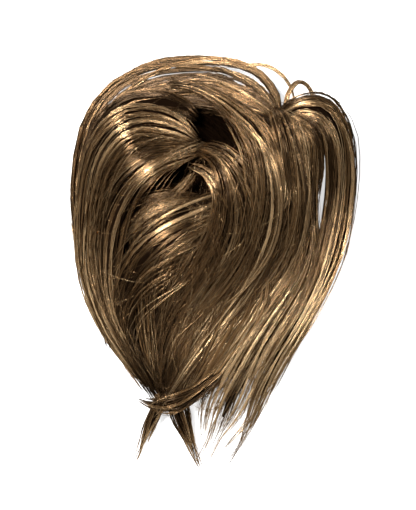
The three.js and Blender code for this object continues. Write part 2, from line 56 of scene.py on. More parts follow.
# A row is one section of a lock, from its root to its tip. The first two numbers place its middle across and
# along the hair, as shares of HAIR_WIDTH and HAIR_LENGTH from the middle of the base. The third is its
# height over the table, as a share of MOUND_HEIGHT. The last two are its width and thickness, as shares of
# LOCK_WIDTH and LOCK_THICKNESS.
LOCKS = {
    "tie_band": [
        [0.13, -0.44, 0.1, 0.25, 0.25],
        [0.075, -0.485, 0.18, 0.4, 0.4],
        [0.015, -0.522, 0.27, 0.55, 0.5],
        [-0.04, -0.55, 0.34, 0.7, 0.65],
        [-0.095, -0.568, 0.37, 0.8, 0.75],
        [-0.14, -0.575, 0.33, 0.7, 0.65],
        [-0.18, -0.574, 0.24, 0.5, 0.5],
        [-0.22, -0.565, 0.14, 0.25, 0.3],
    ],
    "left_roll": [
        [-0.03, 0.055, 0.56, 0.4, 0.5],
        [-0.095, 0.078, 0.66, 1.05, 0.85],
        [-0.18, 0.09, 0.8, 1.45, 1.1],
        [-0.268, 0.074, 0.91, 1.55, 1.2],
        [-0.342, 0.014, 0.74, 1.4, 1.15],
        [-0.38, -0.075, 0.5, 1.2, 1.05],
        [-0.397, -0.17, 0.36, 1.05, 0.95],
        [-0.392, -0.26, 0.31, 0.95, 0.85],
        [-0.357, -0.345, 0.28, 0.85, 0.75],
        [-0.297, -0.43, 0.26, 0.7, 0.65],
        [-0.21, -0.515, 0.24, 0.45, 0.5],
    ],
    "middle_right_lock": [
        [-0.12, 0.19, 0.54, 0.3, 0.3],
        [-0.035, 0.18, 0.63, 0.45, 0.4],
        [0.045, 0.15, 0.73, 0.6, 0.55],
        [0.1, 0.118, 0.84, 0.8, 0.75],
        [0.147, 0.086, 0.93, 0.95, 0.9],
        [0.184, 0.045, 0.98, 1.05, 1.05],
        [0.209, -0.02, 0.91, 1.1, 1.15],
        [0.217, -0.09, 0.76, 1.1, 1.1],
        [0.207, -0.16, 0.59, 1.15, 1.0],
        [0.172, -0.235, 0.45, 1.2, 0.9],
        [0.112, -0.31, 0.35, 1.2, 0.75],
        [0.04, -0.38, 0.3, 1.05, 0.65],
        [-0.04, -0.455, 0.29, 0.8, 0.6],
        [-0.11, -0.535, 0.29, 0.5, 0.5],
    ],
    "lower_left_lock": [
        [-0.018, 0.03, 0.6, 0.35, 0.45],
        [-0.08, 0.024, 0.68, 0.75, 0.7],
        [-0.16, 0.008, 0.76, 1.1, 0.95],
        [-0.24, -0.035, 0.74, 1.25, 1.05],
        [-0.3, -0.105, 0.6, 1.25, 1.0],
        [-0.33, -0.19, 0.46, 1.2, 0.95],
        [-0.335, -0.28, 0.37, 1.05, 0.85],
        [-0.308, -0.37, 0.31, 0.95, 0.75],
        [-0.25, -0.45, 0.28, 0.75, 0.65],
        [-0.18, -0.525, 0.26, 0.5, 0.5],
    ],
    "inner_right_lock": [
        [-0.022, 0.035, 0.62, 0.4, 0.45],
        [0.03, 0.02, 0.8, 0.8, 0.8],
        [0.075, -0.012, 0.9, 1.2, 1.05],
        [0.105, -0.07, 0.86, 1.5, 1.2],
        [0.112, -0.14, 0.7, 1.65, 1.2],
        [0.08, -0.215, 0.53, 1.6, 1.05],
        [0.02, -0.285, 0.41, 1.5, 0.9],
        [-0.045, -0.355, 0.33, 1.3, 0.75],
        [-0.1, -0.43, 0.3, 1.0, 0.6],
        [-0.14, -0.51, 0.29, 0.6, 0.5],
    ],
    "cinch_side_lock": [
        [0.232, 0.12, 0.68, 0.6, 0.6],
        [0.26, 0.085, 0.88, 1.15, 0.9],
        [0.285, 0.02, 0.76, 1.4, 1.1],
        [0.299, -0.06, 0.6, 1.5, 1.2],
        [0.295, -0.145, 0.45, 1.6, 1.1],
        [0.265, -0.225, 0.33, 1.75, 0.9],
        [0.21, -0.295, 0.26, 1.85, 0.75],
        [0.14, -0.36, 0.24, 1.8, 0.65],
        [0.07, -0.425, 0.23, 1.6, 0.6],
        [0.005, -0.485, 0.23, 1.3, 0.5],
        [-0.05, -0.545, 0.22, 0.8, 0.4],
    ],
    "outer_right_lock": [
        [0.25, 0.112, 0.62, 0.5, 0.5],
        [0.32, 0.13, 0.74, 0.9, 0.8],
        [0.39, 0.122, 0.74, 1.3, 1.0],
        [0.438, 0.07, 0.58, 1.45, 1.1],
        [0.458, -0.005, 0.37, 1.42, 1.1],
        [0.456, -0.09, 0.25, 1.4, 1.0],
        [0.437, -0.175, 0.21, 1.4, 0.9],
        [0.405, -0.252, 0.2, 1.2, 0.8],
        [0.362, -0.325, 0.19, 1.0, 0.7],
        [0.31, -0.392, 0.18, 0.9, 0.6],
        [0.257, -0.455, 0.16, 0.85, 0.55],
        [0.213, -0.515, 0.13, 0.8, 0.45],
        [0.175, -0.575, 0.09, 0.6, 0.35],
        [0.145, -0.635, 0.05, 0.3, 0.2],
    ],
    "slit_side_lock": [
        [0.25, 0.1, 0.66, 0.45, 0.5],
        [0.31, 0.086, 0.76, 0.75, 0.7],
        [0.345, 0.04, 0.6, 1.05, 0.85],
        [0.344, -0.05, 0.4, 0.82, 0.9],
        [0.345, -0.13, 0.27, 0.88, 0.9],
        [0.343, -0.21, 0.23, 1.25, 0.75],
        [0.305, -0.285, 0.21, 1.5, 0.7],
        [0.248, -0.352, 0.2, 1.65, 0.6],
        [0.192, -0.415, 0.19, 1.7, 0.5],
        [0.145, -0.478, 0.17, 1.8, 0.45],
        [0.104, -0.54, 0.13, 1.9, 0.4],
        [0.066, -0.6, 0.09, 1.75, 0.3],
        [0.035, -0.65, 0.05, 1.1, 0.2],
    ],
    "inner_fall": [
        [0.07, -0.185, 0.36, 1.0, 0.7],
        [-0.01, -0.215, 0.39, 1.8, 0.8],
        [-0.085, -0.275, 0.37, 2.2, 0.85],
        [-0.138, -0.36, 0.31, 1.9, 0.75],
        [-0.158, -0.445, 0.28, 1.3, 0.65],
        [-0.157, -0.53, 0.25, 0.7, 0.5],
    ],
    "brow_lock": [
        [-0.025, 0.108, 0.46, 0.4, 0.45],
        [-0.075, 0.132, 0.56, 0.75, 0.6],
        [-0.15, 0.143, 0.58, 1.0, 0.75],
        [-0.24, 0.134, 0.55, 1.1, 0.75],
        [-0.32, 0.1, 0.46, 0.95, 0.7],
        [-0.378, 0.045, 0.36, 0.65, 0.5],
    ],
    "inner_roll": [
        [0.13, -0.09, 0.42, 1.0, 0.6],
        [0.065, -0.106, 0.52, 1.35, 0.8],
        [-0.005, -0.127, 0.6, 1.5, 0.95],
        [-0.082, -0.153, 0.64, 1.55, 1.1],
        [-0.158, -0.187, 0.62, 1.5, 1.05],
        [-0.225, -0.237, 0.52, 1.3, 0.95],
        [-0.27, -0.302, 0.41, 1.1, 0.85],
        [-0.286, -0.375, 0.34, 0.95, 0.7],
        [-0.255, -0.455, 0.3, 0.8, 0.6],
        [-0.185, -0.535, 0.28, 0.5, 0.5],
    ],
    "crown_sweep_inner": [
        [0.25, 0.105, 0.58, 0.5, 0.5],
        [0.165, 0.143, 0.54, 1.0, 0.65],
        [0.06, 0.168, 0.47, 1.2, 0.7],
        [-0.06, 0.176, 0.42, 1.2, 0.7],
        [-0.18, 0.161, 0.38, 1.15, 0.7],
        [-0.283, 0.122, 0.34, 1.1, 0.7],
        [-0.36, 0.062, 0.3, 1.1, 0.65],
        [-0.402, -0.02, 0.26, 1.0, 0.55],
        [-0.412, -0.12, 0.22, 0.7, 0.45],
    ],
    "crown_sweep_outer": [
        [0.255, 0.115, 0.5, 0.45, 0.4],
        [0.235, 0.168, 0.42, 0.5, 0.4],
        [0.172, 0.218, 0.33, 0.6, 0.4],
        [0.065, 0.24, 0.26, 0.8, 0.4],
        [-0.06, 0.243, 0.22, 0.85, 0.4],
        [-0.18, 0.229, 0.2, 0.8, 0.4],
        [-0.292, 0.188, 0.19, 0.85, 0.4],
        [-0.376, 0.114, 0.18, 1.05, 0.45],
        [-0.412, 0.02, 0.17, 1.2, 0.5],
        [-0.424, -0.08, 0.165, 1.15, 0.55],
        [-0.412, -0.18, 0.16, 1.05, 0.55],
        [-0.379, -0.275, 0.155, 1.0, 0.55],
        [-0.323, -0.37, 0.15, 0.95, 0.5],
        [-0.25, -0.46, 0.14, 0.8, 0.5],
        [-0.17, -0.555, 0.14, 0.4, 0.45],
    ],
    "tip_right": [
        [-0.1, -0.55, 0.3, 0.8, 0.6],
        [-0.082, -0.61, 0.18, 0.75, 0.5],
        [-0.055, -0.665, 0.08, 0.5, 0.3],
        [-0.022, -0.72, 0.03, 0.2, 0.12],
    ],
    "tip_left": [
        [-0.14, -0.55, 0.3, 0.6, 0.6],
        [-0.175, -0.605, 0.18, 0.55, 0.45],
        [-0.203, -0.655, 0.08, 0.42, 0.3],
        [-0.228, -0.7, 0.03, 0.2, 0.12],
    ],
    "crown_arc": [
        [0.13, 0.234, 0.36, 0.14, 0.2],
        [0.2, 0.236, 0.4, 0.14, 0.2],
        [0.255, 0.214, 0.44, 0.14, 0.2],
        [0.29, 0.176, 0.5, 0.14, 0.2],
        [0.298, 0.135, 0.57, 0.14, 0.2],
    ],
    "crown_loop": [
        [0.268, 0.12, 0.52, 0.2, 0.25],
        [0.28, 0.165, 0.52, 0.2, 0.25],
        [0.31, 0.193, 0.51, 0.22, 0.25],
        [0.34, 0.187, 0.5, 0.22, 0.25],
        [0.362, 0.16, 0.5, 0.2, 0.25],
        [0.366, 0.128, 0.52, 0.16, 0.25],
    ],
}

# How each lock is filled: how many fibres and clumps it has, how many lengths make a fibre, how unruly it
# is, how much shorter or longer than the lock a fibre may end, how wide a clump is (1 is edge to edge with
# the next), how light the fibres are, and over what share of the lock they start. Then how wide the dark
# core is and how far out the clumps reach, as shares of the lock, and how much lighter the fibres get at its
# tip. How light the fibres are is set lock by lock partly as painted light and shade: lighter on locks meant
# to show a highlight, darker on locks meant to look shaded. The lighter tips are mostly a painted highlight
# on the lower locks, and below zero they are painted shade, as under the inner roll.
FILL_COLUMNS = [
    "fibres", "clumps", "lengths", "unruly", "ragged", "clump_width",
    "tone", "roots", "core", "reach", "tips",
]
FILLS = {
    "tie_band": [150, 15, 12, 1.2, 0.1, 0.45, 0.34, 0.35, 0.6, 0.9, 0.0],
    "left_roll": [620, 64, 18, 0.5, 0.05, 0.45, 0.46, 0.04, 0.75, 0.9, 0.2],
    "middle_right_lock": [540, 57, 18, 0.7, 0.05, 0.45, 0.38, 0.12, 0.75, 0.9, 0.55],
    "lower_left_lock": [460, 53, 17, 0.8, 0.05, 0.45, 0.28, 0.04, 0.75, 0.9, 0.25],
    "inner_right_lock": [580, 60, 17, 0.7, 0.06, 0.45, 0.32, 0.04, 0.75, 0.9, 0.3],
    "cinch_side_lock": [660, 72, 18, 0.6, 0.1, 0.45, 0.27, 0.04, 0.75, 0.9, 0.85],
    "outer_right_lock": [500, 56, 19, 0.7, 0.18, 0.45, 0.34, 0.04, 0.7, 1.02, 0.7],
    "slit_side_lock": [560, 64, 18, 0.8, 0.16, 0.45, 0.34, 0.04, 0.7, 1.12, 0.95],
    "inner_fall": [500, 49, 12, 1.0, 0.08, 0.45, 0.1, 0.1, 0.75, 0.9, 0.0],
    "brow_lock": [260, 26, 12, 0.6, 0.06, 0.45, 0.24, 0.1, 0.7, 0.9, 0.0],
    "inner_roll": [560, 60, 15, 0.6, 0.05, 0.45, 0.56, 0.04, 0.8, 0.9, -0.65],
    "crown_sweep_inner": [460, 48, 17, 0.7, 0.06, 0.45, 0.12, 0.04, 0.35, 0.9, 0.0],
    "crown_sweep_outer": [64, 4, 22, 0.5, 0.04, 0.8, 0.3, 0.04, 0.0, 0.9, 0.0],
    "tip_right": [150, 19, 9, 1.3, 0.24, 0.45, 0.4, 0.04, 0.4, 0.9, 0.7],
    "tip_left": [110, 15, 9, 1.3, 0.24, 0.45, 0.4, 0.04, 0.4, 0.9, 0.7],
    "crown_arc": [12, 3, 14, 1.0, 0.02, 0.8, 0.5, 0.04, 0.0, 0.9, 0.0],
    "crown_loop": [30, 4, 16, 0.6, 0.02, 0.7, 0.45, 0.04, 0.0, 0.9, 0.0],
}

# Thin strands that stand out over the locks: what they share, and then for each its rows, how many fibres it
# has and how light they are.
ACCENT_FILL = {
    "clumps": 4, "lengths": 12, "unruly": 1.0, "ragged": 0.2, "clump_width": 1.0,
    "roots": 0.35, "reach": 0.9, "tips": 0.0,
}
ACCENTS = [
    [[[-0.05, 0.208, 0.38, 0.12, 0.2], [0.005, 0.205, 0.44, 0.2, 0.25], [0.109, 0.17, 0.56, 0.25, 0.3],
      [0.21, 0.118, 0.62, 0.2, 0.3]], 34, 0.36],
    [[[0.02, 0.238, 0.34, 0.12, 0.2], [0.09, 0.217, 0.42, 0.2, 0.25], [0.177, 0.178, 0.5, 0.25, 0.3],
      [0.238, 0.122, 0.6, 0.2, 0.3]], 34, 0.34],
    [[[-0.03, 0.262, 0.2, 0.08, 0.2], [0.05, 0.256, 0.28, 0.1, 0.2], [0.13, 0.238, 0.36, 0.12, 0.2],
      [0.2, 0.236, 0.4, 0.12, 0.2], [0.255, 0.214, 0.44, 0.12, 0.2], [0.29, 0.176, 0.5, 0.12, 0.2],
      [0.298, 0.135, 0.57, 0.12, 0.2]], 14, 0.42],
    [[[0.0, 0.05, 0.66, 0.3, 0.25], [-0.1, 0.018, 0.8, 0.4, 0.3], [-0.2, -0.022, 0.85, 0.4, 0.3],
      [-0.285, -0.085, 0.7, 0.35, 0.3], [-0.33, -0.16, 0.54, 0.3, 0.25]], 60, 0.5],
    [[[-0.065, -0.002, 0.66, 0.2, 0.25], [0.01, -0.028, 0.76, 0.4, 0.3], [0.05, -0.09, 0.78, 0.5, 0.35],
      [0.055, -0.155, 0.68, 0.5, 0.35], [0.025, -0.235, 0.5, 0.4, 0.3], [-0.04, -0.31, 0.4, 0.3, 0.25]],
     100, 0.4],
    [[[-0.03, -0.02, 0.64, 0.25, 0.25], [-0.065, -0.05, 0.6, 0.3, 0.3], [-0.11, -0.078, 0.56, 0.3, 0.3],
      [-0.14, -0.1, 0.5, 0.2, 0.2]], 50, 0.3],
    [[[-0.26, -0.06, 0.74, 0.2, 0.2], [-0.33, -0.15, 0.56, 0.35, 0.25], [-0.368, -0.25, 0.4, 0.35, 0.25],
      [-0.37, -0.33, 0.34, 0.35, 0.25], [-0.33, -0.41, 0.3, 0.25, 0.2]], 60, 0.3],
    [[[0.01, -0.09, 0.52, 0.25, 0.25], [-0.065, -0.086, 0.58, 0.5, 0.35], [-0.15, -0.095, 0.57, 0.75, 0.4],
      [-0.22, -0.118, 0.52, 0.8, 0.4], [-0.272, -0.16, 0.45, 0.7, 0.35], [-0.306, -0.22, 0.38, 0.5, 0.3],
      [-0.32, -0.29, 0.33, 0.4, 0.3]], 240, 0.3],
    [[[0.102, 0.106, 0.98, 0.2, 0.2], [0.204, 0.024, 1.07, 0.4, 0.25], [0.245, -0.089, 0.86, 0.5, 0.25],
      [0.217, -0.2, 0.6, 0.5, 0.25], [0.126, -0.291, 0.46, 0.4, 0.25], [0.034, -0.346, 0.38, 0.3, 0.2]],
     110, 0.4],
    [[[0.228, 0.09, 0.9, 0.15, 0.2], [0.3, 0.03, 0.86, 0.2, 0.25], [0.34, -0.09, 0.6, 0.25, 0.25],
      [0.325, -0.19, 0.42, 0.3, 0.25], [0.25, -0.29, 0.33, 0.3, 0.25], [0.14, -0.39, 0.3, 0.3, 0.2]],
     50, 0.42],
    [[[-0.455, -0.08, 0.22, 0.25, 0.2], [-0.432, -0.2, 0.22, 0.3, 0.25], [-0.385, -0.29, 0.22, 0.3, 0.25],
      [-0.33, -0.38, 0.22, 0.2, 0.2]], 40, 0.45],
    [[[0.309, 0.113, 0.76, 0.15, 0.2], [0.353, 0.084, 0.73, 0.25, 0.3], [0.38, 0.04, 0.62, 0.3, 0.3],
      [0.388, -0.012, 0.47, 0.26, 0.3], [0.379, -0.07, 0.36, 0.2, 0.3], [0.365, -0.144, 0.26, 0.2, 0.2]],
     70, 0.16],
]

# The strands of the outer crown sweep: how far outwards each lies from the sweep's middle, in millimetres,
# at each of its rows, then how wide it is, as a share of LOCK_WIDTH, how much it is raised, as a share of
# MOUND_HEIGHT, and how light it is. They leave narrow slits between them.
CROWN_STRANDS = [
    [[0, 0.5, 2, 3.5, 4.6, 5, 4, 4, 4.5, 5, 5, 4.5, 4, 3, 1], 0.15, 0.0, 0.2],
    [[0, 2, 3, 3.5, 3.5, 1.5, 2, 3.5, 6, 7, 6, 5, 4.5, 3, 1], 0.1, 0.03, 0.06],
    [[0, -1.5, 0, 1, -0.2, 1.2, 2.5, 1, 1.5, 2.5, 2.5, 2, 2, 1.5, 0], 0.14, 0.02, 0.22],
    [[0, -9, -10, -4, -4.2, -3, -1.2, -1.5, -1.5, -1, 0, 0, 0, 0, 0], 0.16, 0.02, 0.04],
    [[0, -11, -15, -8, -7.5, -7, -5, -4.5, -4.5, -4, -3, -2.5, -2, -1.5, -0.5], 0.16, 0.0, 0.18],
    [[0, -5, -6, -4, -2, 3, 5.5, 6.5, 7, 6.5, 5.5, 4.5, 3.5, 2, 0.5], 0.12, 0.06, 0.1],
    [[0, 1, 3, 4.5, 2, -3, -6.5, -7, -6.5, -6, -5, -4, -3, -2, -0.5], 0.12, 0.04, 0.24],
]
CROWN_STRAND_THICKNESS = 0.25

# Neighbouring locks between which fibres wander, how many do, and how many lengths make a fibre.
CROSSINGS = [
    ["left_roll", "lower_left_lock", 50, 16],
    ["lower_left_lock", "inner_roll", 16, 16],
    ["inner_roll", "inner_fall", 80, 14],
    ["inner_right_lock", "inner_fall", 90, 15],
    ["middle_right_lock", "inner_right_lock", 60, 16],
    ["middle_right_lock", "cinch_side_lock", 70, 16],
    ["cinch_side_lock", "slit_side_lock", 80, 16],
    ["crown_sweep_inner", "crown_sweep_outer", 6, 16],
]

# Loose hairs over the rest: where they start, as shares of HAIR_WIDTH and HAIR_LENGTH, how far apart, as a
# share of HAIR_WIDTH, how many, which way they head in degrees from across towards the crown, how much that
# varies, and how long they are in metres.
LOOSE_COLUMNS = ["across", "along", "apart", "hairs", "heading", "turn", "length"]
LOOSE = [
    [0.04, 0.1, 0.04, 14, 200, 200, 0.035],
    [-0.02, 0.045, 0.025, 24, 230, 130, 0.04],
    [0.08, 0.04, 0.022, 40, 170, 170, 0.025],
    [-0.1, -0.04, 0.05, 50, 240, 150, 0.035],
    [-0.05, -0.15, 0.09, 50, 215, 60, 0.06],
    [-0.08, -0.28, 0.09, 70, 220, 50, 0.045],
    [0.12, -0.05, 0.1, 40, 275, 50, 0.06],
    [0.3, -0.1, 0.12, 40, 260, 30, 0.07],
    [0.2, -0.4, 0.12, 40, 225, 30, 0.05],
    [0.0, 0.19, 0.12, 40, 185, 40, 0.05],
    [-0.12, -0.56, 0.05, 40, 230, 120, 0.03],
    [0.1, -0.58, 0.06, 30, 240, 50, 0.035],
]
LOOSE_LENGTHS = 12
LEAST_LOOSE_HEIGHT = 0.4 * MM
LEAST_UNDER = 7 * MM

# The camera looks straight down, with the crown at the top of the picture. PICTURE_HEIGHT is what it sees at
# PICTURE_LEVEL over the table.
PICTURE_HEIGHT = 357 * MM
PICTURE_LEVEL = 12 * MM
SENSOR_SIZE = 36
CAMERA_HEIGHT = 1.15
CAMERA_AT = (2.1 * MM, -63 * MM, CAMERA_HEIGHT)
camera_data = bpy.data.cameras.new("camera")
camera_data.sensor_width = SENSOR_SIZE
camera_data.lens = SENSOR_SIZE * (CAMERA_HEIGHT - PICTURE_LEVEL) / PICTURE_HEIGHT
camera = bpy.data.objects.new("camera", camera_data)
camera.location = CAMERA_AT
bpy.context.scene.collection.objects.link(camera)
bpy.context.scene.camera = camera


def new_material(name):
    material = bpy.data.materials.new(name)
    material.use_nodes = True
    tree = material.node_tree
    shader = tree.nodes["Principled BSDF"]
    return material, tree, shader


def node(tree, kind, inputs=None, **settings):
    made = tree.nodes.new(kind)
    for key, value in settings.items():
        setattr(made, key, value)
    for key, value in (inputs or {}).items():
        if isinstance(value, bpy.types.NodeSocket):
            tree.links.new(value, made.inputs[key])
        else:
            made.inputs[key].default_value = value
    return made


def add_object(name, mesh, material):
    made = bpy.data.objects.new(name, mesh)
    bpy.context.scene.collection.objects.link(made)
    mesh.materials.append(material)
    return made


def mesh_of(name, points, quads, triangles, tints=None, uvs=None):
    """A smooth mesh from arrays.

    They are corner points, faces of four and three corners, and for each corner point a colour and a place
    in the fibre's own map."""
    mesh = bpy.data.meshes.new(name)
    loops = np.concatenate([quads.ravel(), triangles.ravel()]).astype(np.int32)
    starts = np.concatenate(
        [np.arange(len(quads)) * 4, len(quads) * 4 + np.arange(len(triangles)) * 3]
    ).astype(np.int32)
    mesh.vertices.add(len(points))
    mesh.vertices.foreach_set("co", points.astype(np.float32).ravel())
    mesh.loops.add(len(loops))
    mesh.loops.foreach_set("vertex_index", loops)
    mesh.polygons.add(len(starts))
    mesh.polygons.foreach_set("loop_start", starts)
    mesh.polygons.foreach_set("use_smooth", np.ones(len(starts), bool))
    if tints is not None:
        layer = mesh.color_attributes.new("tint", "FLOAT_COLOR", "POINT")
        rgba = np.hstack([tints, np.ones((len(tints), 1))])
        layer.data.foreach_set("color", rgba.astype(np.float32).ravel())
    if uvs is not None:
        layer = mesh.uv_layers.new(name="fibre")
        layer.data.foreach_set("uv", uvs[loops].astype(np.float32).ravel())
    mesh.update(calc_edges=True)
    mesh.validate()
    return mesh


def spline(rows, at):
    """A smooth curve through the rows, read at places counted in rows."""
    rows = np.asarray(rows, float)
    padded = np.vstack([2 * rows[0] - rows[1], rows, 2 * rows[-1] - rows[-2]])
    index = np.clip(np.floor(at).astype(int), 0, len(rows) - 2)
    t = (at - index)[..., None]
    a, b, c, d = (padded[index + k] for k in range(4))
    return 0.5 * (2 * b + (c - a) * t + (2 * a - 5 * b + 4 * c - d) * t**2 + (3 * b - a - 3 * c + d) * t**3)


def unit(vectors):
    return vectors / np.maximum(np.linalg.norm(vectors, axis=-1, keepdims=True), 1e-9)


def lock_frame(rows, share):
    """The middle of a lock, its left and top sides, and half its width and thickness.

    All are read at shares of the lock's length."""
    at = share * (len(rows) - 1)
    step = 0.02
    sizes = np.array([HAIR_WIDTH, HAIR_LENGTH, MOUND_HEIGHT, LOCK_WIDTH / 2, LOCK_THICKNESS / 2])
    here = spline(rows, at) * sizes
    ahead = spline(rows, at + step) * sizes
    middle = here[..., :3] + [0, 0, TABLE_Z]
    forward = unit(ahead[..., :3] - here[..., :3])
    lean = [2 * OUTWARD_LEAN / HAIR_WIDTH, OUTWARD_LEAN / HAIR_LENGTH]
    up = np.stack([lean[0] * middle[..., 0], lean[1] * middle[..., 1], np.ones(share.shape)], -1)
    up = unit(up - forward * np.sum(up * forward, -1, keepdims=True))
    left = np.cross(up, forward)
    half_wide = np.maximum(here[..., 3:4], LEAST_HALF_WIDTH)
    half_thick = np.maximum(here[..., 4:5], LEAST_HALF_WIDTH)
    return middle, left, up, half_wide, half_thick


def tubes(paths, left, up, radii):
    """Closed three-sided tubes along paths: an array of fibres by points by three numbers."""
    fibres, points = paths.shape[:2]
    angles = np.arange(3) * 2 * np.pi / 3 + np.pi / 2
    ring = (
        left[:, :, None, :] * np.cos(angles)[None, None, :, None]
        + up[:, :, None, :] * np.sin(angles)[None, None, :, None]
    )
    corners = paths[:, :, None, :] + ring * radii[:, :, None, None]
    index = np.arange(fibres * points * 3).reshape(fibres, points, 3)
    turned = np.roll(index, -1, axis=2)
    quads = np.stack([index[:, :-1], index[:, 1:], turned[:, 1:], turned[:, :-1]], -1).reshape(-1, 4)
    triangles = np.concatenate([index[:, 0], index[:, -1, ::-1]])
    return corners.reshape(-1, 3), quads, triangles


DARK = np.array([0.02, 0.01, 0.004])
MIDDLE = np.array([0.15, 0.083, 0.034])
LIGHT = np.array([0.5, 0.345, 0.185])


def tint_of(tone):
    """From dark through middle to light, for tones from 0 to 1."""
    tone = np.clip(tone, 0, 1)[..., None]
    low = DARK + (MIDDLE - DARK) * np.minimum(tone * 2, 1)
    return low + (LIGHT - MIDDLE) * np.maximum(tone * 2 - 1, 0)


def wander(rng, owners, share, waves, size):
    """Slow wandering along the length, the same for the fibres of one owner."""
    count = owners.max() + 1
    total = 0
    for step in (1, 2, 3):
        rate = (waves * step * rng.uniform(0.7, 1.3, count))[owners, None]
        phase = rng.uniform(0, 2 * np.pi, count)[owners, None]
        total = total + np.sin(2 * np.pi * rate * share + phase) / step
    return total * size


def beside(rows, offsets, wide, lift):
    """Rows of a strand that runs beside the middle of a lock."""
    middle, left = lock_frame(rows, np.linspace(0, 1, len(rows)))[:2]
    moved = middle - left * np.array(offsets)[:, None] * MM
    return [
        [x / HAIR_WIDTH, y / HAIR_LENGTH, row[2] + lift, wide, CROWN_STRAND_THICKNESS]
        for (x, y, _), row in zip(moved, rows)
    ]


def steps_along(lengths):
    """Shares of a fibre's length, closer together near the root, where it bends most."""
    return np.linspace(0, 1, lengths + 1) ** 1.2


def fibre_radii(rng, fibres, lengths):
    """Each fibre has its own thickness, and narrows at its root and tip."""
    taper = np.interp(steps_along(lengths), [0, 0.05, 0.82, 1], [0.5, 1, 1, 0.25])
    return FIBRE_RADIUS * rng.uniform(0.65, 1.25, (fibres, 1)) * taper


def placed(frame_of_lock, u, v):
    """Points at u across and v up in a lock, as shares of its half width and half thickness."""
    middle, left, up, half_wide, half_thick = frame_of_lock
    return middle + left * (u[..., None] * half_wide) + up * (v[..., None] * half_thick)


# How wide a clump is and how far clumps and single fibres wander in a lock, as shares of its half width or
# thickness.
CLUMP_SPREAD = 0.62
CLUMP_WANDER = 0.07
UNRULY_WANDER = 0.05
FIBRE_WANDER = 0.018
WAVE = 0.16
WAVE_LENGTH = 150 * MM
FIBRE_JITTER = 0.07 * MM

# The share of fibres that leave an unruly lock, how much the tone varies between clumps and in one, and the
# share of its tone that a fibre keeps at the bottom of the lock, where it is darkened as painted shade.
STRAYS = 0.06
CLUMP_TONES = 0.42
FIBRE_TONES = 0.12
BOTTOM_SHADE_TONE = 0.3


def fill_lock(rows, fill, rng):
    """The fibres of one lock: their paths, sides, radii, tones and shares along the lock."""
    fibres, clumps, lengths, unruly, ragged = (fill[key] for key in FILL_COLUMNS[:5])
    clump = rng.integers(0, clumps, fibres)
    each = np.arange(fibres)
    start = rng.uniform(0, fill["roots"], fibres)
    end = 1 + ragged * (rng.uniform(-1.4, 0.4, clumps)[clump] + rng.uniform(-0.6, 0.4, fibres))
    share = start[:, None] + (end - start)[:, None] * steps_along(lengths)[None]
    near_tip = np.clip(share, 0, 1) ** 4

    # The clumps fill the section evenly, a golden angle apart, and draw together towards the tip.
    turn = np.arange(clumps) * np.pi * (3 - np.sqrt(5)) + rng.uniform(0, 6)
    reach = np.sqrt((np.arange(clumps) + 0.5) / clumps) * fill["reach"]
    spread = fill["clump_width"] * CLUMP_SPREAD / np.sqrt(clumps) * (1.1 - 0.6 * np.clip(share, 0, 1) ** 2)
    across = CLUMP_WANDER + UNRULY_WANDER * unruly
    u = (reach * np.cos(turn))[clump, None] + wander(rng, clump, share, 0.5, across)
    u = u + ragged * 4 * rng.uniform(-1, 1, clumps)[clump, None] * near_tip
    v = (reach * np.sin(turn))[clump, None] + wander(rng, clump, share, 0.5, CLUMP_WANDER * unruly)
    u = u + rng.normal(0, 1, (fibres, 1)) * spread + wander(rng, each, share, 0.9, FIBRE_WANDER * unruly)
    v = v + rng.normal(0, 1, (fibres, 1)) * spread + wander(rng, each, share, 0.9, FIBRE_WANDER * unruly)
    stray = (rng.uniform(0, 1, (fibres, 1)) < STRAYS * unruly) * rng.uniform(0.3, 1, (fibres, 1))
    route = np.asarray(rows)[:, :2] * [HAIR_WIDTH, HAIR_LENGTH]
    long = np.sum(np.linalg.norm(np.diff(route, axis=0), axis=1))
    v = v + wander(rng, clump, share, long / WAVE_LENGTH, WAVE * unruly)
    u = u + stray * wander(rng, each, share, 0.6, 0.25)
    v = v + stray * (0.25 + wander(rng, each, share, 0.6, 0.12))

    # Only strays and ragged tips leave the lock.
    out = np.sqrt(u**2 + v**2)
    limit = 1 + 0.3 * stray + ragged * 3 * near_tip
    squeeze = np.where(out > limit, limit / np.maximum(out, 1e-6), 1)
    u, v = u * squeeze, v * squeeze

    whole = lock_frame(rows, share)
    paths = placed(whole, u, v) + rng.normal(0, FIBRE_JITTER, share.shape + (3,))
    paths[..., 2] = np.maximum(paths[..., 2], TABLE_Z + FIBRE_RADIUS * 1.2)

    # Painted shade: fibres low in the lock and near its middle are darker than those on top of it and at its
    # sides.
    inner = 0.5 + 0.5 * np.clip(v + 0.3 * out, -1, 1)
    # The lock's own tone is partly painted light and shade, set lock by lock.
    tone = fill["tone"] + CLUMP_TONES * rng.uniform(-1, 1, clumps)[clump, None]
    tone = tone + FIBRE_TONES * rng.normal(0, 1, (fibres, 1))
    # Painted highlight towards the tips of the lower locks, and painted shade where tips is below zero.
    tone = tone + fill["tips"] * np.clip(3 * share - 1.3, 0, 1)
    tone = np.clip(tone, 0.04, 1) * (BOTTOM_SHADE_TONE + (1 - BOTTOM_SHADE_TONE) * inner)
    return paths, *whole[1:3], fibre_radii(rng, fibres, lengths), tone, share


